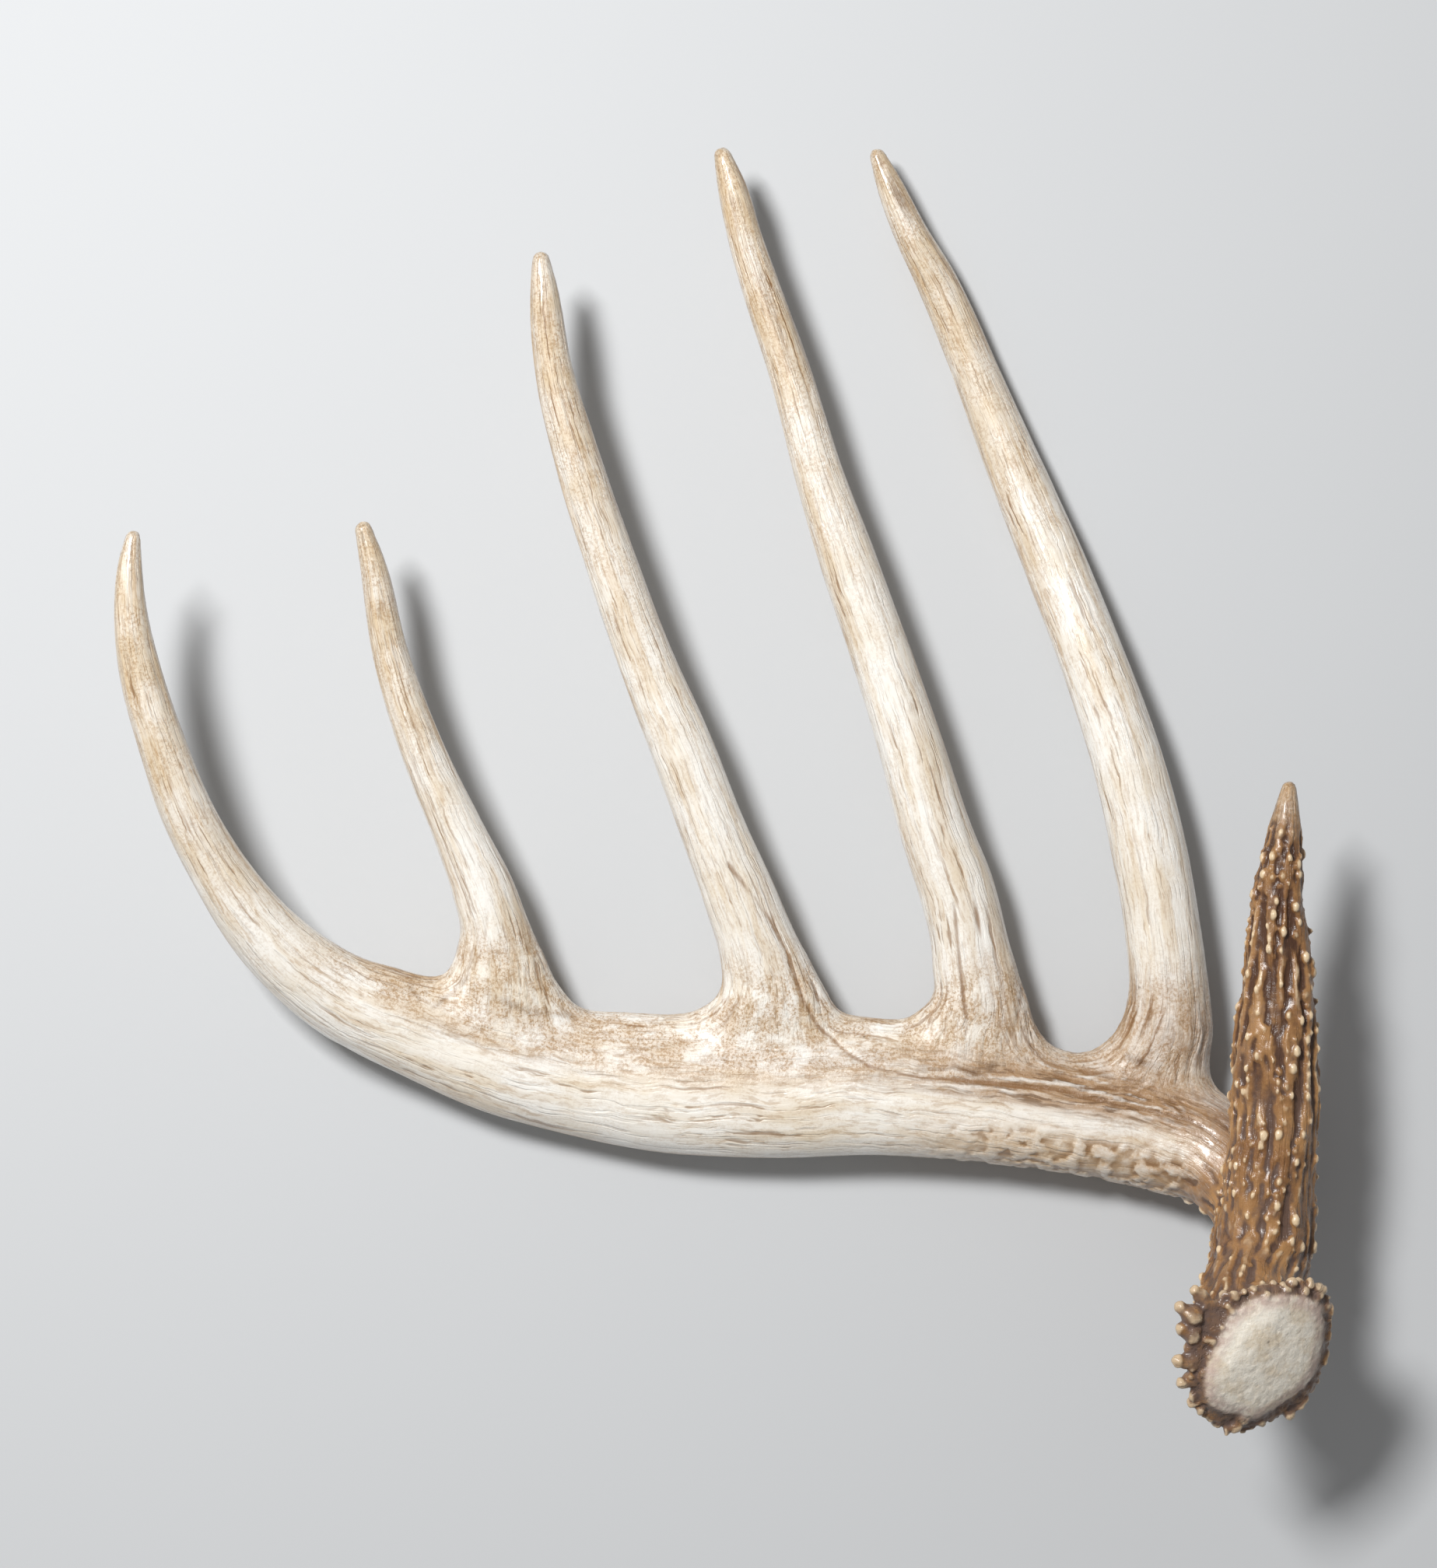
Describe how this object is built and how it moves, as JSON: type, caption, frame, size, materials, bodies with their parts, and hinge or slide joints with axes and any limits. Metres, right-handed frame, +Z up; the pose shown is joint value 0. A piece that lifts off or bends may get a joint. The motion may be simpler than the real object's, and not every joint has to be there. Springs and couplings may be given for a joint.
{
  "type": "shed antler",
  "caption": "White-tailed deer shed antler: a long curved main beam with tall upright tines, a pearled brow tine and a knobbly burr.",
  "frame": {"origin": "bottom centre of the antler's bounding box, on the surface that it lies on", "axes": "+Z up from that surface, on the side that faces the viewer; +Y from the burr towards the tips of the tines; +X along the main beam, from its tip towards the burr"},
  "size_m": [0.4052, 0.4357, 0.1081],
  "materials": {
    "bone": "satin",
    "pearled_bone": "satin"
  },
  "bodies": {
    "root": {"brow_tine": "pearled_bone", "second_tine": "bone", "third_tine": "bone", "fourth_tine": "bone", "fifth_tine": "bone", "main_beam": "bone"}
  },
  "joints": []
}
